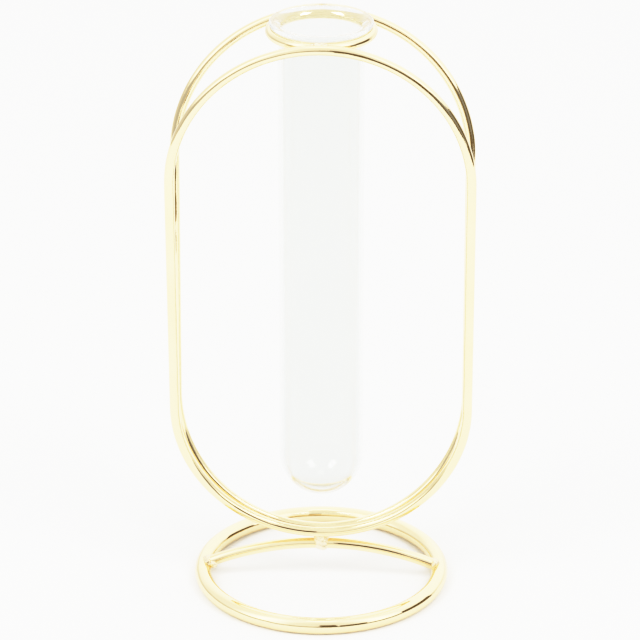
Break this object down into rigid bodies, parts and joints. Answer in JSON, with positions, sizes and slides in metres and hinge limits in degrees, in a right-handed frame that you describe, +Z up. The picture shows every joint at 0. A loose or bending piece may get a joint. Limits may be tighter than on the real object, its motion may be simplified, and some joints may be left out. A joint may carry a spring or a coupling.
{
  "type": "test tube vase",
  "caption": "Clear glass test tube that hangs by its flared lip in a frame of tall oval gold wire loops on a round rod base, and lifts out to be filled for a flower stem.",
  "frame": {"origin": "centre of the base ring on the table it stands on", "axes": "+Z up along the tube, +X along the bowed base wire, the front loop towards -Y"},
  "size_m": [0.09, 0.077, 0.1794],
  "materials": {
    "gold_wire": "polished gold plating on round wire",
    "gold_weld": "plated weld bead, slightly lumpy",
    "clear_glass": "clear, fire polished lip"
  },
  "bodies": {
    "frame": {"base_ring": "gold_wire", "base_arch": "gold_wire", "front_loop": "gold_wire", "rear_loop": "gold_wire", "collar_ring": "gold_wire", "arch_weld_left": "gold_weld", "arch_weld_right": "gold_weld", "loop_weld": "gold_weld", "collar_weld_front": "gold_weld", "collar_weld_rear": "gold_weld"},
    "tube": {"test_tube": "clear_glass"}
  },
  "joints": [
    {"name": "tube_lift", "type": "slide", "parent": "frame", "child": "tube", "axis": [0, 0, 1], "range_m": [0, 0.155]}
  ]
}
